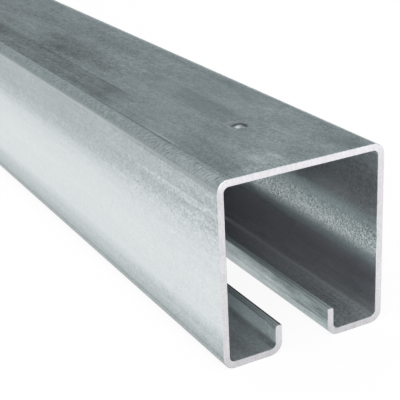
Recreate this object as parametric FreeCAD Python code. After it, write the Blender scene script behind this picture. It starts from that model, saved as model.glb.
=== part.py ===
import FreeCAD, Part
import os

# Running track for a hanging rail: one length of galvanised steel strip, bent into a box section
# that is open along its underside. Two upturned lips edge the slot, and a trolley runs inside.
# The frame has X across the track, Y along it and Z up. Its origin is on the underside, midway
# across and midway along. All sizes are millimetres.

# Section
WIDTH = 64.0
HEIGHT = 67.0
STRIP_THICKNESS = 2.5
INSIDE_BEND_RADIUS = 2.0
SLOT_WIDTH = 18.5
LIP_HEIGHT = 10.8
LIP_EDGE_RADIUS = 0.8

# Stock length
LENGTH = 2000.0

# Round pip pressed up out of the top, near the front end and a little right of the middle
PIP_DIAMETER = 6.0
PIP_RISE = 0.8
PIP_FROM_END = 42.0
PIP_OFF_MIDDLE = 1.2

# Worked out from the sizes above
HALF_WIDTH = WIDTH / 2
HALF_SLOT = SLOT_WIDTH / 2
OUTSIDE_BEND_RADIUS = INSIDE_BEND_RADIUS + STRIP_THICKNESS
COSINE_OF_45_DEGREES = 0.5 ** 0.5


def at(x, z):
    """Point of the section, in the plane of the front end."""
    return FreeCAD.Vector(x, -LENGTH / 2, z)


def bend(corner, side, rise, radius):
    """Start, middle and end of a right-angled bend, from its flat run to its upright run.

    The corner is where the two runs would meet. The flat run leaves it towards side, which is
    1 or -1 along X, and the upright run towards rise, which is 1 or -1 along Z.
    """
    x, z = corner
    centre_x = x + side * radius
    centre_z = z + rise * radius
    reach = radius * COSINE_OF_45_DEGREES
    return [
        (centre_x, z),
        (centre_x - side * reach, centre_z - rise * reach),
        (x, centre_z),
    ]


def right_half():
    """Stretches of the right half's outline, from the top's middle round to the slot and back.

    A stretch of two points is straight, and one of three is an arc.
    """
    wall_face = HALF_WIDTH - STRIP_THICKNESS
    lip_face = HALF_SLOT + STRIP_THICKNESS
    top_outer = bend((HALF_WIDTH, HEIGHT), -1, -1, OUTSIDE_BEND_RADIUS)
    foot_outer = bend((HALF_WIDTH, 0.0), -1, 1, OUTSIDE_BEND_RADIUS)
    lip_outer = bend((HALF_SLOT, 0.0), 1, 1, OUTSIDE_BEND_RADIUS)
    lip_edge = bend((lip_face, LIP_HEIGHT), -1, -1, LIP_EDGE_RADIUS)
    lip_inner = bend((lip_face, STRIP_THICKNESS), 1, 1, INSIDE_BEND_RADIUS)
    foot_inner = bend((wall_face, STRIP_THICKNESS), -1, 1, INSIDE_BEND_RADIUS)
    top_inner = bend((wall_face, HEIGHT - STRIP_THICKNESS), -1, -1, INSIDE_BEND_RADIUS)
    lip_tip = (HALF_SLOT, LIP_HEIGHT)
    return [
        [(0.0, HEIGHT), top_outer[0]],
        top_outer,
        [top_outer[2], foot_outer[2]],
        foot_outer[::-1],
        [foot_outer[0], lip_outer[0]],
        lip_outer,
        [lip_outer[2], lip_tip],
        [lip_tip, lip_edge[0]],
        lip_edge,
        [lip_edge[2], lip_inner[2]],
        lip_inner[::-1],
        [lip_inner[0], foot_inner[0]],
        foot_inner,
        [foot_inner[2], top_inner[2]],
        top_inner[::-1],
        [top_inner[0], (0.0, HEIGHT - STRIP_THICKNESS)],
    ]


def join_at_middle(half):
    """Whole outline of the section: the half and its mirror image, with no seam on the middle line."""
    mirrored = [[(-x, z) for x, z in reversed(run)] for run in reversed(half)]
    top = [mirrored[-1][0], half[0][1]]
    ceiling = [half[-1][0], mirrored[0][1]]
    return [top] + half[1:-1] + [ceiling] + mirrored[1:-1]


def edge_of(run):
    """Straight or arc edge through a stretch's points."""
    points = [at(x, z) for x, z in run]
    if len(points) == 2:
        return Part.makeLine(*points)
    return Part.Arc(*points).toShape()


def bent_strip():
    """The strip's section, carried along the whole length."""
    outline = Part.Wire([edge_of(run) for run in join_at_middle(right_half())])
    return Part.Face(outline).extrude(FreeCAD.Vector(0, LENGTH, 0))


def pip_ball(level):
    """Ball whose cap stands the pip's rise above the given level, as wide there as the pip."""
    half_across = PIP_DIAMETER / 2
    radius = (half_across ** 2 + PIP_RISE ** 2) / (2 * PIP_RISE)
    centre = FreeCAD.Vector(PIP_OFF_MIDDLE, PIP_FROM_END - LENGTH / 2, level + PIP_RISE - radius)
    return Part.makeSphere(radius, centre)


def above(level):
    """Block over the given level, wide enough to hold the whole pip and as tall as its rise."""
    left = PIP_OFF_MIDDLE - PIP_DIAMETER
    front = PIP_FROM_END - PIP_DIAMETER - LENGTH / 2
    corner = FreeCAD.Vector(left, front, level)
    return Part.makeBox(2 * PIP_DIAMETER, 2 * PIP_DIAMETER, 2 * PIP_RISE, corner)


def pip_cap(level):
    """Low dome that stands on the given level."""
    return pip_ball(level).common(above(level))


def track_profile():
    """The bent strip with the pip raised on its top and the pip's hollow under it."""
    strip = bent_strip().fuse(pip_cap(HEIGHT))
    return strip.cut(pip_cap(HEIGHT - STRIP_THICKNESS)).removeSplitter()


os.makedirs("parts", exist_ok=True)
track_profile().exportStep("parts/track_profile.step")
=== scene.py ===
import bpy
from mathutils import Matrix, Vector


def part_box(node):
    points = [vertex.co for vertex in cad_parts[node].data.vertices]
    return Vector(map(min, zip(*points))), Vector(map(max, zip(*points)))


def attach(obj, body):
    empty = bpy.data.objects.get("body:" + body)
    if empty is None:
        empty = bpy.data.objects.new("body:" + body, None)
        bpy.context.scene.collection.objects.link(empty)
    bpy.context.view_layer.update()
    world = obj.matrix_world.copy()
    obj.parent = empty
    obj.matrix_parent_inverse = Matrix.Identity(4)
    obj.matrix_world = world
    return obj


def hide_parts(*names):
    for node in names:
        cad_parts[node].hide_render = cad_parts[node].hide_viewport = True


bl_info = {
    "name": "Running track",
    "version": (1, 0, 0),
    "blender": (4, 5, 0),
    "location": "3D View > Sidebar > Track",
    "description": "One length of galvanised running track, bent from strip, on a studio floor",
    "category": "Object",
}

import math

import bpy
import numpy as np
from mathutils import Quaternion, Vector

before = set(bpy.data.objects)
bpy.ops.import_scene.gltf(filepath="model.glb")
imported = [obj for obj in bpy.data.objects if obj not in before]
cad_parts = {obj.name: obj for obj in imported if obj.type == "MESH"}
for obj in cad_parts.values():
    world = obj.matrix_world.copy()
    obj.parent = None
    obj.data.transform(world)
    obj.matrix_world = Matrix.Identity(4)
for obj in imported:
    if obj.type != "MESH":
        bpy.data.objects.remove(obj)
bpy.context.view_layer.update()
TRACK_NODE = "track_profile"
TRACK_LOW, TRACK_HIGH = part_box(TRACK_NODE)
WIDTH = TRACK_HIGH[0] - TRACK_LOW[0]
LENGTH = TRACK_HIGH[1] - TRACK_LOW[1]
FRONT = TRACK_LOW[1]
MM = 0.001
PLACE_ATTRIBUTE = "strip_place"

# Dullness of the outer skin at distances in millimetres from the top's middle, measured across the strip:
# the top, the upper band of the wall, its bright middle, its foot, the flange and the lip. The darker foot of
# the wall is painted shade for the dim floor beside it that the metal mirrors, and the darker upper band of
# the wall and the dark lips are partly painted shade.
BANDS = (
    (0, 0.88), (21, 0.88), (24, 1.03), (25, 1.03), (26, 0.9), (31, 1.02), (38, 1.02), (41.5, 1.06),
    (45, 0.94), (47.2, 0.84), (49.2, 0.62), (53, 0.3), (58, 0.18), (66, 0.1), (79, 0.12), (82, 0.38),
    (84, 0.63), (86, 0.72), (88, 0.91), (90, 1.0), (96, 1.3), (100, 0.7), (112, 0.75), (114.7, 0.9),
    (116, 1.15), (118, 1.45), (119.4, 1.3), (120.1, 1.5), (121, 1.6),
)
# Painted shade that the dark lines along the wall's foot add to that, where the bend mirrors the floor
FOOT_LINES = (
    (0, 0), (89.4, 0), (90.45, 0.45), (91.2, 0.05), (91.9, 0.1), (92.5, 1.3), (93.3, 1.3), (94, 1.1),
    (94.8, 1.25), (96, 0), (121, 0),
)
# How strongly the outer skin is speckled across the strip, and how strongly the top is along it
SPECKLE = (
    (0, 1.0), (27, 1.0), (33, 0.5), (46, 0.58), (52, 0.35), (60, 0.2), (80, 0.2), (84, 0.4), (90, 0.35),
    (96, 0.4), (112, 0.3), (121, 0.3),
)
SPECKLE_ALONG_TOP = ((0, 1.0), (40, 0.85), (70, 0.7), (100, 0.8), (150, 1.3), (200, 1.3))
# Where the wall has its dark specks, and where the lips have their streaks
WALL_SPECKS = ((0, 0.1), (34, 0.5), (50, 1), (86, 1), (90, 0), (121, 0))
LIP_STREAKS = ((0, 0), (113, 0), (115, 1), (121, 1))
# Where the top's bends have a skin of their own, how strongly it is crazed, and the dull line below it
BEND_SKIN = ((0, 0), (27.1, 0), (27.7, 1), (31.45, 1), (32.2, 0), (40, 0))
BEND_CRAZE = (
    (0, 0), (27.3, 0), (27.8, 1), (29.6, 0.95), (30.5, 0.55), (31.1, 0.2), (32.1, 0.05), (40, 0),
)
BEND_BORDER = ((0, 0), (30.4, 0), (31.2, 1), (32.0, 1), (32.7, 0), (40, 0))
# The dark crease along a bend's upper side, and its strength at distances from the front end
CREASE = ((0, 0), (26.3, 0), (26.65, 0.2), (27.0, 1.0), (27.5, 0), (60, 0))
CREASE_STRENGTH = ((0, 0.0), (20, 0.1), (45, 0.8), (100, 1.0), (140, 0.9), (2000, 0.8))
# Dullness of the skin inside the track, largely painted light and shade: the ceiling, the wall and its foot,
# the flange and the lip. The pale band down the wall stands for light coming in through the slot.
INNER_BANDS = (
    (0, 0.3), (32, 0.6), (38, 0.7), (54.6, 0.78), (55, 0.0), (58, 0.3), (60, 0.56), (64, 0.75), (68, 0.58),
    (72, -0.1), (73.2, 0.05), (74.5, 0.5), (77, 0.6), (80, 0.67), (90, 0.73), (91.7, 0.9), (92.3, 0.88),
    (93, 0.66), (93.7, 0.5), (94.4, 0.72), (95.6, 0.92), (98, 1.12), (100, 1.3), (102, 1.4), (108, 1.3),
    (112.2, 1.4), (113.6, 1.1), (114.8, 0.4), (115.8, 0.1), (119.3, 0.15), (120.2, 0.8), (121, 0.8),
)
# How far those bands waver, how strong the painted glints of the crystals there are, and where they are
# stronger by the front end
INNER_WAVER = ((0, 1), (50, 0.1), (58, 0.1), (64, 1), (78, 0.3), (121, 0.1))
INNER_GLINTS = (
    (0, 0.4), (58.5, 0.4), (61.5, 1.2), (70, 1.2), (73.5, 0.2), (113, 0.2), (116, 0.6), (121, 0.6),
)
GLINTS_BY_END = ((0, 0), (90, 0), (96, 1), (109, 1), (112, 0.1), (121, 0.1))
# Share of the foot's darker colour inside, which is painted shade low down, where it grows farther in, and
# where it shrinks by the front end
LOW_SHARE = (
    (0, 0), (30, 0.2), (54.6, 0.3), (55.1, 0), (71, 0), (75.5, 0.9), (92, 0.7), (96, 0.35), (113, 0.35),
    (116, 0), (122, 0),
)
LOW_FARTHER_IN = ((0, 0), (90, 0), (95, 0.8), (112, 0.8), (115, 0), (122, 0))
LOW_BY_END = ((0, 0), (92, 0), (96, 1), (113, 1), (116, 0), (122, 0))
# Roughness of the outer skin where it is clean and where it is dull, and its metallic share
OUTER_ROUGHNESS = (0.3, 0.36)
OUTER_METALLIC = 0.92
# Roughness of the skin inside, its metallic share and the depth of its pits
INNER_ROUGHNESS = ((0, 0.17), (87, 0.17), (91, 0.38), (121, 0.42))
INNER_METALLIC = (
    (0, 0.92), (33, 0.75), (54.6, 0.75), (55.1, 0.92), (89.5, 0.92), (94, 0.85), (98, 0.62), (110, 0.6),
    (115, 0.3), (122, 0.3),
)
INNER_PITS = ((0, 1.2), (55, 1.2), (60, 1.6), (71, 1.6), (74, 1), (121, 1))
# Dullness of the sawn ends at heights above the underside: painted shade, darker towards the foot
SAWN_HEIGHTS = (
    (0, 0.62), (2.5, 0.5), (5.5, 0.38), (10, 0.3), (60, 0.3), (63, 0.25), (65.2, 0.02), (68, 0.0),
)
# Lighter and darker patches of the outer skin, as place across the strip, place from the front end, half
# width, half length and dullness
TONE_PATCHES = (
    (-21, 2, 8, 5, -0.6), (-5, 10, 3, 5, -0.4), (-11, 10, 3.5, 6, -0.4), (-7, 2, 9, 4, -0.36),
    (-10, 8, 10, 13, -0.37), (5, 28, 8, 17, -0.3), (20.5, 7, 7, 8, 0.4), (21, 14, 8, 10, 0.1),
    (20, 42, 8, 24, -0.2), (-20, 25, 6, 22, 0.12), (-21, 62, 7, 16, -0.1), (-9, 42, 4, 15, 0.1),
    (4.5, 114, 4, 8, 0.3), (2, 116, 6, 22, 0.1), (16, 135, 14, 60, 0.18), (-3, 185, 9, 50, 0.7),
    (-11, 185, 5, 40, 0.32), (12, 215, 14, 60, 0.35), (0, 290, 40, 70, 0.42),
    (-44.2, 12, 1.6, 24, -0.3), (-48.5, 25, 3.5, 75, -0.22), (-36, 125, 7, 45, 0.1),
    (-36, 205, 7, 40, 0.12), (-39, 10, 8, 40, -0.1), (-25.3, 14, 1.3, 20, 0.12),
    (-25.3, 72, 1.3, 28, -0.07), (118, 4, 6, 20, 0.1),
)
# Straight-sided strips that the rolls left on the outer skin, and the lighter slot side of the left lip, as
# both sides across the strip, both ends from the front end, and dullness
ROLLED_STRIPS = (
    (-26.4, -13.9, 100, 700, 0.56), (-20.5, -13.9, 104, 700, 0.22), (-26.4, -19.3, 86, 102, 0.12),
    (-121.6, -115.2, -10, 2010, -0.8), (-26.4, -15.1, -10, 44, 0.12), (-2.1, 7.9, 52, 96, 0.3),
    (-14.0, -6.0, 124, 300, 0.15), (-41.4, -38.7, -20, 55, -0.24), (-85.1, -84.5, -20, 75, 0.12),
)
# Patches of the inner skin, partly painted light and shade, given as the patches of the outer skin are
INNER_PATCHES = (
    (-117.5, 0, 7, 17, 0.85), (44, -5, 14, 25, 0.35), (52, 28, 6, 14, -0.35), (99, 14, 6, 16, 0.16),
    (83, 3, 10, 12, -0.12), (104, 62, 9, 30, -0.25), (-104, 32, 7, 28, -0.24), (-109, 50, 4, 25, -0.25),
    (60, -3, 6, 14, 0.2), (66, 42, 12, 33, -0.17), (69.4, 8, 1.4, 9, -0.6), (67, 8, 1.2, 9, 0.15),
    (66.5, 60, 2.2, 18, 0.28), (71.6, 58, 2.4, 24, -0.5), (82, 90, 14, 40, -0.4),
    (-106, 108, 12, 50, -1.1), (-117.5, 75, 5, 40, -0.25),
)
# Dullness of the slit tips at distances from the middle line, on the left lip and on the right one; the left
# tip's dark ground is painted shade
LEFT_TIP = (
    (0, 1.8), (9.95, 1.8), (10.15, 0.7), (10.4, 0.3), (10.6, 0.8), (10.8, 0.25), (11, 0.9), (11.2, 1.45),
    (11.4, -0.1), (11.55, 1.0), (11.7, 0.7), (12, 0.5),
)
RIGHT_TIP = (
    (0, 0.2), (9.3, 0.2), (9.55, 0.4), (9.7, 0), (9.9, 0.1), (10.05, 0.85), (10.25, 0.9), (10.4, 0.6),
    (10.8, 0.5), (11.2, 0.25), (12, 0.2),
)
# Scratches, smears, light and dark lines of the left bend, the pip's painted dark reflection, painted
# highlight and light halo, and a painted highlight on the right lip, given as the patches of the outer skin
# are
MARKS = (
    (-26.05, 48, 0.4, 17, -0.9), (-27.5, 22, 0.45, 18, -0.45), (-26.2, 24, 0.4, 22, 0.28),
    (-28.2, 20, 0.4, 18, 0.25), (-14.6, 28, 0.3, 26, 0.12), (-14.2, 130, 0.3, 50, 0.15),
    (-5.5, 9, 2.2, 4.5, -0.45), (-11, 10, 2.6, 5, -0.45), (1.2, 42, 3.1, 3.1, 1.5),
    (3.2, 41.6, 1.4, 1.9, 0.8), (2.1, 43.4, 2.4, 1.2, 0.9), (-0.8, 43.4, 1.2, 1.2, 0.9),
    (0.15, 40.9, 1.5, 1.15, -1.45), (1.0, 47.4, 3.2, 1.1, -0.35), (-2.4, 43.5, 0.8, 6, -0.25),
    (-29.6, 16, 1.8, 24, -0.28), (-30.6, 125, 1, 80, 0.12), (116.5, 64, 4.8, 38, -0.75),
)


# Settings

def number_setting(name, description, default, **others):
    """A number, with its limits and its unit."""
    return bpy.props.FloatProperty(name=name, description=description, default=default, **others)


def length_setting(name, description, default):
    """A size in metres that the panel shows as a length."""
    return number_setting(
        name, description, default, min=0.0, precision=5, unit="LENGTH", subtype="DISTANCE"
    )


def place_setting(name, description, default):
    """A point of the frame, in metres."""
    return bpy.props.FloatVectorProperty(
        name=name, description=description, default=default, size=3, subtype="TRANSLATION", unit="LENGTH"
    )


def colour_setting(name, description, default):
    """A colour without alpha."""
    return bpy.props.FloatVectorProperty(
        name=name, description=description, default=default, size=3, min=0.0, max=1.0, subtype="COLOR"
    )


class StripSizes(bpy.types.PropertyGroup):
    thickness: length_setting("Strip thickness", "Thickness of the steel strip", 2.5 * MM)
    inside_radius: length_setting("Inside bend radius", "Radius on the inside of every bend", 2.0 * MM)
    slot: length_setting("Slot width", "Clear gap between the two lips", 18.5 * MM)
    lip: length_setting("Lip height", "Height of a lip's tip above the underside", 10.8 * MM)
    lip_edge: length_setting(
        "Lip edge radius", "Rounding of a lip's tip, on the side towards the wall", 0.8 * MM
    )
    pip: length_setting("Pip diameter", "Width of the round pip raised on the top", 6.0 * MM)
    pip_rise: length_setting("Pip rise", "Height of the pip above the top", 0.8 * MM)
    pip_place: length_setting("Pip from end", "Distance from the front end to the pip's middle", 42.0 * MM)
    pip_side: length_setting(
        "Pip off the middle", "Distance of the pip from the middle line, to the right", 1.2 * MM
    )
    slit_round: length_setting(
        "Slit corner", "Rounding of a lip's tip, on the side towards the slot", 0.35 * MM
    )
    deburr: length_setting("Deburred edge", "Width of the small chamfer round each sawn end", 0.1 * MM)
    roll_mark: length_setting(
        "Roll mark depth", "Depth of the fine line that the rolls leave along each bend", 0.04 * MM
    )


class TrackColours(bpy.types.PropertyGroup):
    zinc: colour_setting("Zinc", "Clean galvanised surface", (0.71, 0.745, 0.75))
    inner_zinc: colour_setting("Inner zinc", "Galvanised surface inside the track", (0.78, 0.86, 0.88))
    # Inner foot: painted shade, the darker colour that the skin inside takes low down and farther in
    shaded_inner_zinc: colour_setting(
        "Inner foot", "Galvanised surface low down inside the track", (0.44, 0.42, 0.45)
    )
    # Dull zinc also serves as painted shade, on the wall's foot and inside the track
    dull_and_shaded_zinc: colour_setting("Dull zinc", "Weathered patches of the galvanised surface", (0.42, 0.47, 0.48))
    # Stained zinc also serves as the pip's painted dark reflection on the top
    stained_and_shaded_zinc: colour_setting("Stained zinc", "Darkest patches of the top", (0.208, 0.2225, 0.227))
    shaded_zinc: colour_setting(
        "Shaded zinc", "Darkest lines of the wall's foot and the lips", (0.192, 0.2225, 0.23)
    )
    lip_tint: colour_setting("Lip tint", "What the colours of the lips are multiplied by", (0.955, 1.0, 1.0))
    sawn: colour_setting("Sawn steel", "Bright bare steel of the sawn ends", (0.83, 0.818, 0.84))
    slit: colour_setting("Slit edge", "Narrow edge where the strip was slit to width", (0.33, 0.38, 0.39))


class StudioSettings(bpy.types.PropertyGroup):
    lens: number_setting("Lens", "Focal length of the camera", 96.06, min=1.0, unit="CAMERA")
    camera_place: place_setting("Camera place", "Where the camera stands", (-0.17662, -1.26587, 0.18690))
    camera_target: place_setting(
        "Camera target", "Point in the middle of the picture", (-0.03125, -0.98744, 0.05672)
    )
    camera_roll: number_setting(
        "Camera roll", "Turn of the camera about its own view", math.radians(-2.80),
        subtype="ANGLE", unit="ROTATION",
    )
    card: number_setting("Grey card", "Brightness of the card that the top mirrors", 0.34, min=0.0)
    lamp: number_setting("Soft lamp", "Power of the large soft lamp", 84.0, min=0.0, unit="POWER")
    lamp_side: length_setting("Lamp size", "Side of the square soft lamp", 4.0)
    fill: number_setting("Fill light", "Strength of the even light from all round", 0.82, min=0.0)


# The strip's shape

# How many steps each stretch of the section takes: over the pip, along the top, round a bend, down the wall,
# along the flange, up the lip and round its tip
PIP_STEPS, TOP_STEPS, BEND_STEPS, WALL_STEPS, FLANGE_STEPS, LIP_STEPS, TIP_STEPS = 24, 14, 16, 16, 10, 6, 7
# How many places along the length there are in front of the pip, over it and behind it
FRONT_STATIONS, PIP_STATIONS, BACK_STATIONS = 12, 41, 50
# How far the close grid reaches from the pip's middle, as a share of its width
PIP_REACH = 0.7
# Places of the three finishes in the mesh's list
SKIN, SAWN, SLIT = 0, 1, 2
# How far two faces turn from each other where their edge is shaded sharp
SHARP_ANGLE = math.radians(28)


def straight(start, end, count):
    """Points on a line: start + t (end - start), with t from 0 up to but not at 1, closer by both ends.

    The share t is (1 - cos(pi i / count)) / 2.
    """
    share = (1 - np.cos(np.pi * np.arange(count) / count))[:, None] / 2
    return np.array(start) + share * (np.array(end) - np.array(start))


def evenly(start, end, count):
    """Points on a line: start + t (end - start), with t evenly from 0 up to but not at 1."""
    share = np.arange(count)[:, None] / count
    return np.array(start) + share * (np.array(end) - np.array(start))


def bend(centre, radius, first, last, count):
    """Points on an arc: centre + radius (cos a, sin a), with a evenly from first up to but not at last.

    The angles are in degrees.
    """
    angle = np.radians(first + (last - first) * np.arange(count) / count)[:, None]
    return np.array(centre) + radius * np.hstack([np.cos(angle), np.sin(angle)])


def half_skin(sizes, height, depth, tip_radius, inward):
    """One skin of the section's right half, at a depth in the strip, from the top's middle to the lip's tip.

    Straight runs are divided lines, and bends are arcs about centres that both skins share. Inward is 1 for
    the outer skin, whose tip is rounded on the slot's side, and -1 for the inner one, on the wall's side.
    """
    half, slot = WIDTH / 2, sizes.slot / 2
    outside = sizes.inside_radius + sizes.thickness
    near_pip = PIP_REACH * sizes.pip + sizes.pip_side
    run, flange, face = half - outside, slot + outside, slot + depth
    top, wall, radius = height - depth, half - depth, outside - depth
    tip_across, tip_up = face + inward * tip_radius, sizes.lip - tip_radius
    return np.vstack([
        evenly((0, top), (near_pip, top), PIP_STEPS),
        straight((near_pip, top), (run, top), TOP_STEPS),
        bend((run, height - outside), radius, 90, 0, BEND_STEPS),
        straight((wall, height - outside), (wall, outside), WALL_STEPS),
        bend((run, outside), radius, 0, -90, BEND_STEPS),
        straight((run, depth), (flange, depth), FLANGE_STEPS),
        bend((flange, outside), radius, -90, -180, BEND_STEPS),
        straight((face, outside), (face, tip_up), LIP_STEPS),
        bend((tip_across, tip_up), tip_radius, 90 + 90 * inward, 90, TIP_STEPS),
        [(tip_across, sizes.lip)],
    ])


def whole_section(sizes, height):
    """Outer points, inner points and the distance across the flat strip, from the left tip to the right tip.

    The left half is the right half with X turned over. The distance is the running sum of the steps along
    the middle of the thickness, counted from the top's middle, and below nought on the left.
    """
    outer = half_skin(sizes, height, 0.0, sizes.slit_round, 1)
    inner = half_skin(sizes, height, sizes.thickness, sizes.lip_edge, -1)
    middle = (outer + inner) / 2
    steps = np.linalg.norm(np.diff(middle, axis=0), axis=1)
    across = np.concatenate([[0], np.cumsum(steps)])
    over = np.array([-1, 1])
    outer = np.vstack([outer[:0:-1] * over, outer])
    inner = np.vstack([inner[:0:-1] * over, inner])
    across = np.concatenate([-across[:0:-1], across])
    return outer, inner, across


def stations(sizes):
    """Places along the length: both ends, and even steps in front of the pip, over it and behind it."""
    pip = FRONT + sizes.pip_place
    reach = PIP_REACH * sizes.pip
    back = FRONT + LENGTH
    return np.unique(np.round(np.concatenate([
        [FRONT, back],
        np.linspace(FRONT + sizes.deburr, pip - reach, FRONT_STATIONS),
        np.linspace(pip - reach, pip + reach, PIP_STATIONS),
        np.linspace(pip + reach, back - sizes.deburr, BACK_STATIONS),
    ]), 7))


def pip_height(x, y, sizes):
    """Rise of the pip: a ball's cap, root(R^2 - r^2) - (R - rise) at a distance r from its middle.

    R is the radius of the ball whose cap has the pip's width and rise. The cap's foot is softened to
    (cap + root(cap^2 + foot^2)) / 2 - foot / 2, and beyond the close grid the rise is nought.
    """
    radius = (sizes.pip ** 2 / 4 + sizes.pip_rise ** 2) / (2 * sizes.pip_rise)
    away = np.hypot(x - sizes.pip_side, y - FRONT - sizes.pip_place)
    cap = np.sqrt(np.maximum(radius ** 2 - away ** 2, 0)) - (radius - sizes.pip_rise)
    foot = 0.04 * MM
    softened = np.maximum(0, (cap + np.sqrt(cap ** 2 + foot ** 2)) / 2 - foot / 2)
    return softened * (away < PIP_REACH * sizes.pip)


def roll_mark_depth(across, sizes):
    """Depth of the lines left where the flats meet the bends: a bell curve about each line's distance."""
    outside = sizes.inside_radius + sizes.thickness
    run = WIDTH / 2 - outside
    line = 0.22 * MM
    return sizes.roll_mark * np.exp(-((np.abs(across) - run) / line) ** 2)


def strip_points(sizes):
    """Grid of points round the section and along the track, with each point's place on the flat strip.

    A point is the section's point at that place round it, moved by the pip and the roll marks, and drawn in
    by the deburring at the ends. The loop runs over the outside and back over the inside.
    """
    height = TRACK_HIGH[2] - sizes.pip_rise
    outer, inner, across = whole_section(sizes, height)
    along = stations(sizes)
    thick = (outer - inner) / np.linalg.norm(outer - inner, axis=1)[:, None]
    at_end = np.isclose(along, along[0]) | np.isclose(along, along[-1])
    trim = sizes.deburr * at_end[:, None, None]
    outer_grid = outer[None] - (trim + roll_mark_depth(across, sizes)[None, :, None]) * thick[None]
    inner_grid = inner[None] + trim * thick[None]
    on_top = (np.abs(across) < 2 * sizes.pip)[None, :]
    rise = pip_height(across[None, :], along[:, None], sizes) * on_top
    outer_grid[..., 1] += rise
    inner_grid[..., 1] += rise
    grid = np.concatenate([outer_grid, inner_grid[:, ::-1]], axis=1)
    side = np.concatenate([np.ones(len(across)), -np.ones(len(across))])
    loop = np.concatenate([across, across[::-1]])
    place = np.stack(np.broadcast_arrays(loop, along[:, None], side), axis=-1)
    points = np.stack([grid[..., 0], place[..., 1], grid[..., 1]], axis=-1)
    return points, place


def grid_faces(rows, columns, closed):
    """Four-sided faces of a grid of points, numbered row x columns + column.

    In a closed grid the last column also joins the first.
    """
    across = columns if closed else columns - 1
    row, column = np.meshgrid(np.arange(rows - 1), np.arange(across), indexing="ij")
    following = (column + 1) % columns
    return np.stack([
        row * columns + column, row * columns + following,
        (row + 1) * columns + following, (row + 1) * columns + column,
    ], axis=-1).reshape(-1, 4)


def end_faces(rows, columns):
    """Faces across the thickness at both ends, between each outer point and the inner point opposite it."""
    outer = np.arange(columns // 2 - 1)
    inner = columns - 1 - outer
    front = np.stack([outer, inner, inner - 1, outer + 1], axis=-1)
    back = front[:, ::-1] + (rows - 1) * columns
    return np.vstack([front, back])


def strip_mesh(name, sizes):
    """Mesh of the whole strip: walls first, then the two ends, with the finish of each face."""
    points, place = strip_points(sizes)
    rows, columns = points.shape[:2]
    walls, ends = grid_faces(rows, columns, closed=True), end_faces(rows, columns)
    column = walls[:, 0] % columns
    to_right_tip = np.abs(column - (columns // 2 - 1))
    to_left_tip = np.minimum(column + 1, columns - 1 - column)
    on_tip = np.minimum(to_right_tip, to_left_tip) <= TIP_STEPS
    mesh = bpy.data.meshes.new(name)
    mesh.from_pydata(points.reshape(-1, 3).tolist(), [], np.vstack([walls, ends]).tolist())
    finish = np.concatenate([np.where(on_tip, SLIT, SKIN), np.full(len(ends), SAWN)])
    mesh.polygons.foreach_set("material_index", finish.astype(np.int32))
    marks = mesh.attributes.new(PLACE_ATTRIBUTE, "FLOAT_VECTOR", "POINT")
    marks.data.foreach_set("vector", place.reshape(-1).astype(np.float32))
    mesh.shade_smooth()
    mesh.set_sharp_from_angle(angle=SHARP_ANGLE)
    mesh.validate()
    return mesh


def add_piece(mesh):
    """Puts the mesh into the scene as an object at the origin."""
    made = bpy.data.objects.new(mesh.name, mesh)
    bpy.context.scene.collection.objects.link(made)
    return made


# Shader nodes

# The values that the stops of a ramp can stand for
RAMP_LOW, RAMP_HIGH = -1.0, 3.0
# Where a patch is gone and where it is full, as shares of its half width and half length
PATCH_GONE, PATCH_FULL = 1.25, 0.25
# How wide the fading sides and ends of the straight strips are
STRIP_SIDE_FADE, STRIP_END_FADE = 0.3 * MM, 9 * MM
# How far the edges of the worn patches wander across the strip
WANDER = 5 * MM
# How much the crystals' own greys add to the fine noise between them
CRYSTAL_SHARE = 0.3


def put(tree, kind, inputs=None, **settings):
    """Adds a node, sets its own settings, and links or sets its inputs by name or number."""
    made = tree.nodes.new(kind)
    for name, value in settings.items():
        setattr(made, name, value)
    for name, value in (inputs or {}).items():
        if isinstance(value, bpy.types.NodeSocket):
            tree.links.new(value, made.inputs[name])
        else:
            made.inputs[name].default_value = value
    return made


def math_node(tree, operation, first, second=0.0, third=0.0):
    """Output of a Math node."""
    return put(tree, "ShaderNodeMath", {0: first, 1: second, 2: third}, operation=operation).outputs[0]


def total(tree, *parts):
    """Sum of several values."""
    result = parts[0]
    for part in parts[1:]:
        result = math_node(tree, "ADD", result, part)
    return result


def product(tree, first, second):
    """First times second."""
    return math_node(tree, "MULTIPLY", first, second)


def spread(tree, value, low, high, to_low=0.0, to_high=1.0, kind="LINEAR"):
    """Maps low to high onto a new range, held at its ends."""
    inputs = {"Value": value, "From Min": low, "From Max": high, "To Min": to_low, "To Max": to_high}
    return put(tree, "ShaderNodeMapRange", inputs, interpolation_type=kind).outputs["Result"]


def held(tree, value, low, high):
    """The value, kept between low and high."""
    return spread(tree, value, low, high, low, high)


def within(tree, value, low, high, fade, strength=1.0):
    """The strength between low and high, and nought outside them, with a fade across each."""
    half = (high - low) / 2
    from_middle = math_node(tree, "SUBTRACT", value, (low + high) / 2)
    beside = math_node(tree, "ABSOLUTE", from_middle)
    return spread(tree, beside, half + fade, half - fade, 0.0, strength)


def blend_values(tree, share, first, second):
    """Mix of two values: the first at nought, the second at one."""
    return put(tree, "ShaderNodeMix", {0: share, 2: first, 3: second}, data_type="FLOAT").outputs[0]


def opaque(colour):
    """A plain colour with its alpha, or a linked one as it is."""
    return colour if isinstance(colour, bpy.types.NodeSocket) else (*colour, 1.0)


def blend_colours(tree, share, first, second):
    """Mix of two colours: the first at nought, the second at one, and on past both."""
    inputs = {"Factor": share, 6: opaque(first), 7: opaque(second)}
    return put(tree, "ShaderNodeMix", inputs, data_type="RGBA", clamp_factor=False).outputs[2]


def times(colour, factor):
    """A plain colour with each part multiplied by the factor."""
    return [factor * part for part in colour]


def scaled(tree, vector, scale):
    """The vector or linked colour with each part multiplied by that of scale."""
    return put(tree, "ShaderNodeVectorMath", {0: vector, 1: scale}, operation="MULTIPLY").outputs[0]


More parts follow.
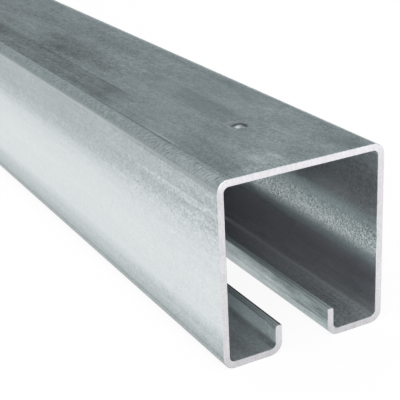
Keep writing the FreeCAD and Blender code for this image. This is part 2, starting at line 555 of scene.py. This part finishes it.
def cells(tree, place, across, along, third=1.0):
    """Coordinates in which one cell measures so many millimetres across the strip and along it."""
    return scaled(tree, place, (1 / (across * MM), 1 / (along * MM), third))


def end_cells(tree, place, across, upright):
    """Coordinates in which one cell measures so many millimetres across a sawn end and up it."""
    return scaled(tree, place, (1 / (across * MM), 1.0, 1 / (upright * MM)))


def noise(tree, vector, detail, roughness, scale=1.0, distortion=0.0):
    """Output of a Noise Texture."""
    inputs = {
        "Vector": vector, "Scale": scale, "Detail": detail, "Roughness": roughness, "Distortion": distortion,
    }
    return put(tree, "ShaderNodeTexNoise", inputs).outputs["Fac"]


def cell_pattern(tree, place):
    """Grey of the cell that each point lies in, and the point's distance from the cell's middle."""
    pattern = put(tree, "ShaderNodeTexVoronoi", {"Vector": place, "Scale": 1.0}, feature="F1").outputs
    grey = put(tree, "ShaderNodeSeparateColor", {"Color": pattern["Color"]}).outputs[0]
    return grey, pattern["Distance"]


def steps(tree, value, stops):
    """Value that runs smoothly through the stops: each a distance in millimetres and the value there."""
    last = stops[-1][0]
    reach = RAMP_HIGH - RAMP_LOW
    made = put(tree, "ShaderNodeValToRGB", {"Fac": math_node(tree, "DIVIDE", value, last * MM)})
    made.color_ramp.interpolation = "EASE"
    points = made.color_ramp.elements
    while len(points) < len(stops):
        points.new(0.5)
    for point, (place, height) in zip(points, stops):
        grey = (height - RAMP_LOW) / reach
        point.position = place / last
        point.color = (grey, grey, grey, 1.0)
    return math_node(tree, "MULTIPLY_ADD", made.outputs["Color"], reach, RAMP_LOW)


def new_group(name):
    """An empty node group that takes a place and a contrast and gives a mask, with its two end nodes."""
    group = bpy.data.node_groups.new(name, "ShaderNodeTree")
    group.interface.new_socket("Place", in_out="INPUT", socket_type="NodeSocketVector")
    group.interface.new_socket("Contrast", in_out="INPUT", socket_type="NodeSocketFloat")
    group.interface.new_socket("Mask", in_out="OUTPUT", socket_type="NodeSocketFloat")
    return group, group.nodes.new("NodeGroupInput"), group.nodes.new("NodeGroupOutput")


def mottle_group():
    """Mottled metal: noise over many sizes, from the given cell down to a thirtieth, about nought."""
    group, given, result = new_group("metal_mottle")
    cloud = noise(group, given.outputs["Place"], 5.0, 0.62, distortion=0.3)
    swing = math_node(group, "SUBTRACT", cloud, 0.5)
    group.links.new(product(group, swing, given.outputs["Contrast"]), result.inputs["Mask"])


def grain_group():
    """Crystal grain: small cells, each of its own grey, broken up by finer noise, about nought."""
    group, given, result = new_group("metal_grain")
    crystal = cell_pattern(group, given.outputs["Place"])[0]
    fine = noise(group, given.outputs["Place"], 2.0, 0.7, scale=1.4)
    both = math_node(group, "MULTIPLY_ADD", crystal, CRYSTAL_SHARE, fine)
    swing = math_node(group, "SUBTRACT", both, CRYSTAL_SHARE / 2 + 0.5)
    group.links.new(product(group, swing, given.outputs["Contrast"]), result.inputs["Mask"])


def group_mask(tree, name, place, contrast):
    """Places a node group in the given coordinates, and gives its mask."""
    inputs = {"Place": place, "Contrast": contrast}
    return put(tree, "ShaderNodeGroup", inputs, node_tree=bpy.data.node_groups[name]).outputs["Mask"]


def mottle(tree, place, across, along, contrast):
    """Mottled metal whose cells measure so many millimetres across the strip and along it."""
    return group_mask(tree, "metal_mottle", cells(tree, place, across, along), contrast)


def grain(tree, place, across, along, contrast):
    """Crystal grain whose cells measure so many millimetres across the strip and along it."""
    return group_mask(tree, "metal_grain", cells(tree, place, across, along), contrast)


def object_place(tree):
    """Object coordinates, and their three parts."""
    place = put(tree, "ShaderNodeTexCoord").outputs["Object"]
    return place, put(tree, "ShaderNodeSeparateXYZ", {"Vector": place}).outputs


def add_bump(tree, shader, height, strength, depth):
    """Makes the shader's surface rise with the height, by so many millimetres at a height of one."""
    bump = put(tree, "ShaderNodeBump", {"Height": height, "Strength": strength, "Distance": depth * MM})
    tree.links.new(bump.outputs["Normal"], shader.inputs["Normal"])


def metal_material(name, metallic=1.0, roughness=0.5):
    """A material with a metal shader, its node tree and that shader."""
    material = bpy.data.materials.new(name)
    material.use_nodes = True
    tree = material.node_tree
    shader = tree.nodes["Principled BSDF"]
    shader.inputs["Metallic"].default_value = metallic
    shader.inputs["Roughness"].default_value = roughness
    return material, tree, shader


# The galvanised skin. Dullness is nought for clean zinc and one for the dull colour, and it carries painted
# light and shade besides the zinc's own tone.

def soft_patches(tree, place, patches, side):
    """Sum of soft oval patches. The side is 1 for the outer skin and -1 for the inner one."""
    result = 0.0
    for across, along, half_across, half_along, strength in patches:
        middle = (across * MM, FRONT + along * MM, side)
        near = put(tree, "ShaderNodeVectorMath", {0: place, 1: middle}, operation="SUBTRACT").outputs[0]
        shrunk = cells(tree, near, half_across, half_along)
        away = put(tree, "ShaderNodeVectorMath", {0: shrunk}, operation="LENGTH").outputs["Value"]
        inside = spread(tree, away, PATCH_GONE, PATCH_FULL, 0.0, strength, "SMOOTHSTEP")
        result = math_node(tree, "ADD", result, inside)
    return result


def rolled_strips(tree, parts, strips):
    """Sum of straight-sided strips: crisp along both sides, and fading out towards both ends."""
    result = 0.0
    for left, right, start, end, strength in strips:
        across = within(tree, parts["X"], left * MM, right * MM, STRIP_SIDE_FADE)
        along = within(tree, parts["Y"], FRONT + start * MM, FRONT + end * MM, STRIP_END_FADE, strength)
        result = math_node(tree, "MULTIPLY_ADD", across, along, result)
    return result


def dark_specks(tree, place, away):
    """Sparse small dark specks of the wall: the middles of a few cells of a cell pattern."""
    chance, from_middle = cell_pattern(tree, cells(tree, place, 2.1, 2.4))
    chosen = spread(tree, chance, 0.72, 0.95)
    middle = spread(tree, from_middle, 0.2, 0.08)
    return product(tree, product(tree, chosen, middle), steps(tree, away, WALL_SPECKS))


def share_on_top(tree, away):
    """One on the flat of the top, and nought from its bends on."""
    return spread(tree, away, 27.4 * MM, 27.0 * MM)


def wandering(tree, place):
    """The place, moved about by a slow noise, three times as far along the strip as across it."""
    slow = noise(tree, cells(tree, place, 9, 30), 4.0, 0.6)
    shift = math_node(tree, "MULTIPLY_ADD", slow, WANDER, -WANDER / 2)
    moved = put(tree, "ShaderNodeCombineXYZ", {"X": shift, "Y": product(tree, shift, 3.0)}).outputs[0]
    return put(tree, "ShaderNodeVectorMath", {0: place, 1: moved}, operation="ADD").outputs[0]


def flat_tone_and_shade(tree, place, parts, away, from_end):
    """Dullness of the outer skin off the top's bends: bands partly of painted shade, clouds, speckles,
    lighter and darker patches, specks and streaks.
    """
    streak = mottle(tree, place, 4, 150, 1.0)
    wavering = math_node(tree, "MULTIPLY_ADD", streak, 2.5 * MM, away)
    band = total(tree, steps(tree, wavering, BANDS), steps(tree, away, FOOT_LINES))
    on_top = share_on_top(tree, away)
    clouds = total(tree, mottle(tree, place, 9, 60, 1.6), mottle(tree, place, 8, 17, 1.2))
    blotches = product(tree, clouds, math_node(tree, "MULTIPLY_ADD", on_top, 0.7, 0.08))
    speck = total(
        tree, mottle(tree, place, 2.2, 5, 1.3), mottle(tree, place, 1.0, 60, 1.0),
        grain(tree, place, 0.6, 0.75, 2.4),
    )
    along_wall = spread(tree, from_end, 20 * MM, 90 * MM, 1.3, 0.85)
    along = blend_values(tree, on_top, along_wall, steps(tree, from_end, SPECKLE_ALONG_TOP))
    speckle = product(tree, speck, product(tree, steps(tree, away, SPECKLE), along))
    tone_patches = soft_patches(tree, wandering(tree, place), TONE_PATCHES, 1.0)
    strips = rolled_strips(tree, parts, ROLLED_STRIPS)
    patch_tone = product(tree, total(tree, tone_patches, strips), math_node(tree, "MULTIPLY_ADD", speck, -0.55, 1.0))
    specks = product(tree, dark_specks(tree, place, away), 0.6)
    drawn = total(tree, mottle(tree, place, 0.8, 45, 3.4), mottle(tree, place, 1.7, 10, 2.3))
    lip_streaks = product(tree, drawn, steps(tree, away, LIP_STREAKS))
    return total(tree, band, blotches, speckle, patch_tone, specks, lip_streaks)


def place_on_bend(tree, away, from_end):
    """Distance from the top's middle that sets a bend's bands lower by the front end and higher behind."""
    lowered = spread(tree, from_end, 15 * MM, 60 * MM, -0.4 * MM, 0.0)
    raised = spread(tree, from_end, 60 * MM, 150 * MM, 0.0, 0.35 * MM)
    on_upper_half = spread(tree, away, 31 * MM, 27.5 * MM)
    return total(tree, away, lowered, product(tree, raised, on_upper_half))


def bend_dullness(tree, place, from_end, bend_place):
    """Dullness of the top's bends: a slanting craze, strong on their upper part and fading down them."""
    turn = {"Vector": place, "Angle": math.radians(40)}
    slanting = put(tree, "ShaderNodeVectorRotate", turn, rotation_type="Z_AXIS").outputs[0]
    craze = total(tree, mottle(tree, slanting, 1.8, 0.5, 4.4), grain(tree, slanting, 1.3, 0.4, 2.8))
    along = spread(tree, from_end, 30 * MM, 90 * MM, 1.0, 0.9)
    crazed = product(tree, steps(tree, bend_place, BEND_CRAZE), along)
    even = math_node(tree, "MULTIPLY_ADD", crazed, -0.14, 0.63)
    return math_node(tree, "MULTIPLY_ADD", craze, crazed, even)


def crease_dullness(tree, place, parts, from_end, bend_place):
    """Dullness of the broken crease along the left bend, which is faint along the right one."""
    line = product(tree, steps(tree, bend_place, CREASE), steps(tree, from_end, CREASE_STRENGTH))
    on_left = spread(tree, parts["X"], 1 * MM, -1 * MM, 0.1, 1.0)
    broken = math_node(tree, "ADD", mottle(tree, place, 3, 9, 1.6), 0.9)
    return product(tree, line, product(tree, on_left, broken))


def outer_tone_and_shade(tree, place, parts, away):
    """Dullness of the outer skin, with painted light and shade: its flat stretches, the top's bends, their
    lines, and the marks on all.
    """
    from_end = math_node(tree, "SUBTRACT", parts["Y"], FRONT)
    bend_place = place_on_bend(tree, away, from_end)
    flat = flat_tone_and_shade(tree, place, parts, away, from_end)
    bent = bend_dullness(tree, place, from_end, bend_place)
    skin = blend_values(tree, steps(tree, bend_place, BEND_SKIN), flat, bent)
    along = spread(tree, from_end, 30 * MM, 90 * MM, 0.62, 0.05)
    border = product(tree, steps(tree, away, BEND_BORDER), along)
    crease = crease_dullness(tree, place, parts, from_end, bend_place)
    return total(tree, skin, border, crease, soft_patches(tree, place, MARKS, 1.0))


def inner_tone_and_light(tree, place, parts, away):
    """Dullness of the skin inside the track, largely painted light and shade: wavering bands, crystals with
    painted glints, soft streaks.
    """
    waver = product(tree, mottle(tree, place, 5, 25, 3 * MM), steps(tree, away, INNER_WAVER))
    band = steps(tree, math_node(tree, "ADD", waver, away), INNER_BANDS)
    crystals = grain(tree, place, 0.56, 0.58, 1.0)
    side = spread(tree, parts["X"], -1 * MM, 1 * MM, 0.65, 1.15)
    by_end = spread(tree, parts["Y"], FRONT + 20 * MM, FRONT + 70 * MM, 0.22, 0.0)
    glint_strength = steps(tree, away, INNER_GLINTS)
    glints_by_place = math_node(tree, "MULTIPLY_ADD", by_end, steps(tree, away, GLINTS_BY_END), glint_strength)
    # Painted glints: the palest crystals made paler still, more on the right side and by the front end
    flecks = spread(tree, crystals, 0.04, 0.4, 0.0, -0.8)
    bright = product(tree, math_node(tree, "SUBTRACT", flecks, crystals), 2.0)
    sparkle = product(tree, product(tree, side, glints_by_place), bright)
    soft = total(
        tree, mottle(tree, place, 8, 20, 0.4), mottle(tree, place, 2, 3, 0.5),
        mottle(tree, place, 1.2, 60, 0.7),
    )
    return total(tree, band, sparkle, soft, soft_patches(tree, place, INNER_PATCHES, -1.0))


def outer_colour(tree, colours, tone_and_painted_light, away):
    """Colour of the outer skin: clean zinc, the duller colour, and the darkest colour beyond that; the last
    two also serve as painted shade.
    """
    light = blend_colours(tree, held(tree, tone_and_painted_light, -0.95, 1.0), colours.zinc, colours.dull_and_shaded_zinc)
    dark = blend_colours(tree, share_on_top(tree, away), colours.shaded_zinc, colours.stained_and_shaded_zinc)
    beyond = spread(tree, tone_and_painted_light, 1.0, 2.4, 0.0, 1.556)
    return blend_colours(tree, beyond, light, dark)


def inner_colour(tree, colours, tone_and_painted_light, parts, away, deep, low_share):
    """Colour of the skin inside, which takes the darker colour of the foot low down and farther in as painted
    shade.
    """
    lit = blend_colours(tree, tone_and_painted_light, colours.inner_zinc, colours.dull_and_shaded_zinc)
    low = blend_colours(tree, tone_and_painted_light, times(colours.shaded_inner_zinc, 1.6), colours.shaded_inner_zinc)
    farther_in = product(tree, deep, steps(tree, away, LOW_FARTHER_IN))
    near = spread(tree, parts["Y"], FRONT + 10 * MM, FRONT + 80 * MM, -0.18, 0.0)
    by_end = product(tree, near, steps(tree, away, LOW_BY_END))
    return blend_colours(tree, total(tree, low_share, farther_in, by_end), lit, low)


def zinc_material(colours):
    """Galvanised skin: pale zinc that is duller in bands and patches outside, and has large crystals inside;
    painted light and shade lie in both.
    """
    material, tree, shader = metal_material("galvanised_zinc")
    place = put(tree, "ShaderNodeAttribute", attribute_name=PLACE_ATTRIBUTE).outputs["Vector"]
    parts = put(tree, "ShaderNodeSeparateXYZ", {"Vector": place}).outputs
    outside = spread(tree, parts["Z"], -0.5, 0.5)
    away = math_node(tree, "ABSOLUTE", parts["X"])
    # Painted shade inside: deep and low_share make the skin darker farther in and low down
    deep = spread(tree, parts["Y"], FRONT + 10 * MM, FRONT + 90 * MM, 0.0, 0.45)
    low_share = steps(tree, away, LOW_SHARE)
    tone_and_painted_light = outer_tone_and_shade(tree, place, parts, away)
    inner_tone_with_painted_light = held(tree, inner_tone_and_light(tree, place, parts, away), -0.4, 1.9)

    hollow = inner_colour(tree, colours, inner_tone_with_painted_light, parts, away, deep, low_share)
    colour = blend_colours(tree, outside, hollow, outer_colour(tree, colours, tone_and_painted_light, away))
    on_lip = spread(tree, away, 111 * MM, 113 * MM)
    tinted = blend_colours(tree, on_lip, colour, scaled(tree, colour, colours.lip_tint))
    tree.links.new(tinted, shader.inputs["Base Color"])

    outer_rough = spread(tree, tone_and_painted_light, 0.0, 1.0, *OUTER_ROUGHNESS)
    rough = blend_values(tree, outside, steps(tree, away, INNER_ROUGHNESS), outer_rough)
    tree.links.new(rough, shader.inputs["Roughness"])
    inner_metal = math_node(
        tree, "SUBTRACT", steps(tree, away, INNER_METALLIC), product(tree, deep, low_share)
    )
    tree.links.new(blend_values(tree, outside, inner_metal, OUTER_METALLIC), shader.inputs["Metallic"])

    pits = grain(tree, place, 0.7, 0.8, 1.0)
    relief = blend_values(tree, outside, steps(tree, away, INNER_PITS), 1.0)
    add_bump(tree, shader, product(tree, pits, relief), strength=0.16, depth=0.05)
    return material


# The bare steel

def sawn_material(colours):
    """Sawn end: bright bare steel with the blade's fine upright marks, with painted shade that darkens it
    towards its foot.
    """
    material, tree, shader = metal_material("sawn_steel")
    place, parts = object_place(tree)
    on_left = spread(tree, parts["X"], -20 * MM, 20 * MM, 0.05, 0.0)
    marks = group_mask(tree, "metal_mottle", end_cells(tree, place, 0.35, 4), 1.0)
    specks = group_mask(tree, "metal_grain", end_cells(tree, place, 0.5, 0.6), 0.7)
    blotches = group_mask(tree, "metal_mottle", end_cells(tree, place, 3, 5), 0.5)
    tone_and_painted_light = total(tree, steps(tree, parts["Z"], SAWN_HEIGHTS), on_left, marks, specks, blotches)
    colour = blend_colours(tree, tone_and_painted_light, colours.sawn, times(colours.sawn, 0.6))
    tree.links.new(colour, shader.inputs["Base Color"])
    add_bump(tree, shader, marks, strength=0.15, depth=0.03)
    return material


def slit_material(colours):
    """Slit edge of the strip: grey, with dark lines along it, painted shade over the left tip, and a painted
    reflection that lightens the right tip farther from the front end.
    """
    material, tree, shader = metal_material("slit_edge", metallic=0.2, roughness=0.6)
    shader.inputs["Specular IOR Level"].default_value = 0.2
    place, parts = object_place(tree)
    beside = math_node(tree, "ABSOLUTE", parts["X"])
    on_right = spread(tree, parts["X"], -1 * MM, 1 * MM)
    # Painted reflection: the right tip lighter farther from the front end
    painted_glint = spread(tree, parts["Y"], FRONT + 25 * MM, FRONT + 60 * MM, 0.0, -0.6)
    right_tip = math_node(tree, "ADD", steps(tree, beside, RIGHT_TIP), painted_glint)
    tip_lines_and_shade = blend_values(tree, on_right, steps(tree, beside, LEFT_TIP), right_tip)
    lines = group_mask(tree, "metal_mottle", cells(tree, place, 0.4, 70, 0.0), 1.5)
    specks = group_mask(tree, "metal_grain", cells(tree, place, 0.5, 0.8, 0.0), 0.8)
    tone_and_painted_light = spread(tree, total(tree, tip_lines_and_shade, lines, specks), -0.3, 1.8, -0.3, 1.35)
    colour = blend_colours(tree, tone_and_painted_light, colours.slit, times(colours.slit, 0.3))
    tree.links.new(colour, shader.inputs["Base Color"])
    return material


# The studio

WHITE = (1.0, 1.0, 1.0, 1.0)
FLOOR_COLOUR = (0.9, 0.9, 0.9, 1.0)
FLOOR_HALF_SIDE = 20.0
# How far the floor lies under the track, so that the two never flicker through each other
FLOOR_DROP = 0.1 * MM
# How white the floor is to the eye, and in the metal's reflection beside the slot and in it
FLOOR_SEEN, FLOOR_MIRRORED, SLOT_MIRRORED = 0.92, 0.42, 0.64
# The grey card's tint, its radius, its height from low to high, and the turn in degrees from end to end
CARD_TINT = (0.865, 1.0, 1.035, 1.0)
CARD_RADIUS, CARD_LOW, CARD_HIGH = 2.3, 0.22, 2.6
CARD_START, CARD_END = -42, 100
LAMP_PLACE = (-1.6, FRONT - 1.8, 2.2)


def bare_tree(owner):
    """Emptied node tree of a new material or world."""
    owner.use_nodes = True
    owner.node_tree.nodes.clear()
    return owner.node_tree


def show_to_camera_and_metal(tree):
    """One for what the camera, a reflection or clear glass sees, and nought for other light."""
    path = put(tree, "ShaderNodeLightPath").outputs
    seen = math_node(tree, "MAXIMUM", path["Is Camera Ray"], path["Is Glossy Ray"])
    return math_node(tree, "MAXIMUM", seen, path["Is Transmission Ray"])


def white_world(studio):
    """Even light from all round, white where it is seen."""
    world = bpy.data.worlds.new("white_surround")
    tree = bare_tree(world)
    fill = put(tree, "ShaderNodeBackground", {"Color": WHITE, "Strength": studio.fill}).outputs[0]
    white = put(tree, "ShaderNodeBackground", {"Color": WHITE, "Strength": 1.0}).outputs[0]
    mixed = put(tree, "ShaderNodeMixShader", {0: show_to_camera_and_metal(tree), 1: fill, 2: white})
    put(tree, "ShaderNodeOutputWorld", {"Surface": mixed.outputs[0]})
    return world


def floor_material():
    """Pale floor that stays white to the eye and keeps a faint shadow.

    The metal mirrors it as a light grey, and as a paler one in the slot between the lips.
    """
    material = bpy.data.materials.new("pale_floor")
    tree = bare_tree(material)
    matt = put(tree, "ShaderNodeBsdfDiffuse", {"Color": FLOOR_COLOUR}).outputs[0]
    white = put(tree, "ShaderNodeEmission", {"Color": WHITE, "Strength": 1.0}).outputs[0]
    path = put(tree, "ShaderNodeLightPath").outputs
    plain = math_node(tree, "MAXIMUM", path["Is Camera Ray"], path["Is Transmission Ray"])
    beside = math_node(tree, "ABSOLUTE", object_place(tree)[1]["X"])
    glow = spread(tree, beside, 16 * MM, 9 * MM, FLOOR_MIRRORED, SLOT_MIRRORED)
    mirrored = product(tree, path["Is Glossy Ray"], glow)
    share = math_node(tree, "MULTIPLY_ADD", plain, FLOOR_SEEN, mirrored)
    mixed = put(tree, "ShaderNodeMixShader", {0: share, 1: matt, 2: white})
    put(tree, "ShaderNodeOutputMaterial", {"Surface": mixed.outputs[0]})
    return material


def card_material(studio):
    """Even grey of the tall card that the top of the track mirrors."""
    material = bpy.data.materials.new("grey_card")
    tree = bare_tree(material)
    grey = put(tree, "ShaderNodeEmission", {"Color": CARD_TINT, "Strength": studio.card})
    put(tree, "ShaderNodeOutputMaterial", {"Surface": grey.outputs[0]})
    return material


def grid_object(name, points, material):
    """An object whose mesh is a grid of points with four-sided faces."""
    faces = grid_faces(*points.shape[:2], closed=False)
    mesh = bpy.data.meshes.new(name)
    mesh.from_pydata(points.reshape(-1, 3).tolist(), [], faces.tolist())
    mesh.materials.append(material)
    return add_piece(mesh)


def floor_points():
    """A flat square: (u, v, 0) with u and v from one side to the other, a hair under the track."""
    side = np.linspace(-FLOOR_HALF_SIDE, FLOOR_HALF_SIDE, 3)
    x, y = np.meshgrid(side, side, indexing="xy")
    return np.stack([x, y, np.full_like(x, TRACK_LOW[2] - FLOOR_DROP)], axis=-1)


def card_points():
    """A tall curved card: (R sin t, R cos t) about the track's near end, from behind it to its right."""
    turn = np.radians(np.linspace(CARD_START, CARD_END, 40))
    rise = np.linspace(CARD_LOW, CARD_HIGH, 8)
    turn, rise = np.meshgrid(turn, rise, indexing="xy")
    return np.stack([CARD_RADIUS * np.sin(turn), FRONT + CARD_RADIUS * np.cos(turn), rise], axis=-1)


# Operators

class TRACK_OT_profile(bpy.types.Operator):
    """Make the bent strip, with its pip, its lips and its sawn ends"""
    bl_idname = "track.profile"
    bl_label = "Track profile"

    def execute(self, context):
        sizes, colours = context.scene.strip_sizes, context.scene.track_colours
        mottle_group()
        grain_group()
        mesh = strip_mesh("galvanised_track", sizes)
        for material in (zinc_material(colours), sawn_material(colours), slit_material(colours)):
            mesh.materials.append(material)
        track = add_piece(mesh)
        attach(track, "root")
        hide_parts(TRACK_NODE)
        return {"FINISHED"}


class TRACK_OT_stage(bpy.types.Operator):
    """Set the floor, the grey card, the light and the camera"""
    bl_idname = "track.stage"
    bl_label = "Studio"

    def execute(self, context):
        studio = context.scene.studio
        context.scene.world = white_world(studio)
        floor = grid_object("floor", floor_points(), floor_material())
        card = grid_object("grey_card", card_points(), card_material(studio))
        for hidden in ("visible_camera", "visible_diffuse", "visible_shadow"):
            setattr(card, hidden, False)
        self.add_lamp(context, studio)
        self.add_camera(context, studio)
        context.scene.view_settings.view_transform = "Standard"
        return {"FINISHED"}

    def add_lamp(self, context, studio):
        """Large square lamp, up to the left in front, aimed at the near end."""
        light = bpy.data.lights.new("soft_lamp", "AREA")
        light.energy = studio.lamp
        light.size = studio.lamp_side
        lamp = bpy.data.objects.new("soft_lamp", light)
        lamp.location = LAMP_PLACE
        aim = Vector((0, FRONT, 0)) - lamp.location
        lamp.rotation_mode = "QUATERNION"
        lamp.rotation_quaternion = aim.to_track_quat("-Z", "Y")
        context.scene.collection.objects.link(lamp)

    def add_camera(self, context, studio):
        """Camera at its place, looking at its target and turned by its roll."""
        camera = bpy.data.objects.new("camera", bpy.data.cameras.new("camera"))
        context.scene.collection.objects.link(camera)
        camera.data.lens = studio.lens
        camera.data.clip_start = 0.01
        view = Vector(studio.camera_target) - Vector(studio.camera_place)
        camera.rotation_mode = "QUATERNION"
        camera.location = studio.camera_place
        camera.rotation_quaternion = view.to_track_quat("-Z", "Y") @ Quaternion((0, 0, 1), studio.camera_roll)
        context.scene.camera = camera


class TRACK_PT_panel(bpy.types.Panel):
    """Lists the makers and their settings"""
    bl_idname = "TRACK_PT_panel"
    bl_label = "Running track"
    bl_space_type = "VIEW_3D"
    bl_region_type = "UI"
    bl_category = "Track"

    def draw(self, context):
        scene = context.scene
        for settings in (scene.strip_sizes, scene.track_colours, scene.studio):
            box = self.layout.box()
            for name in settings.__annotations__:
                box.prop(settings, name)
        self.layout.operator(TRACK_OT_profile.bl_idname)
        self.layout.operator(TRACK_OT_stage.bl_idname)


CLASSES = (StripSizes, TrackColours, StudioSettings, TRACK_OT_profile, TRACK_OT_stage, TRACK_PT_panel)
SETTINGS = {"strip_sizes": StripSizes, "track_colours": TrackColours, "studio": StudioSettings}


def register():
    """Adds the settings, the operators and the panel."""
    for made in CLASSES:
        bpy.utils.register_class(made)
    for name, group in SETTINGS.items():
        setattr(bpy.types.Scene, name, bpy.props.PointerProperty(type=group))


def unregister():
    """Takes the settings, the operators and the panel away."""
    for name in SETTINGS:
        delattr(bpy.types.Scene, name)
    for made in reversed(CLASSES):
        bpy.utils.unregister_class(made)


def main():
    register()
    bpy.ops.track.stage()
    bpy.ops.track.profile()
    bpy.context.view_layer.update()


if __name__ == "__main__":
    main()
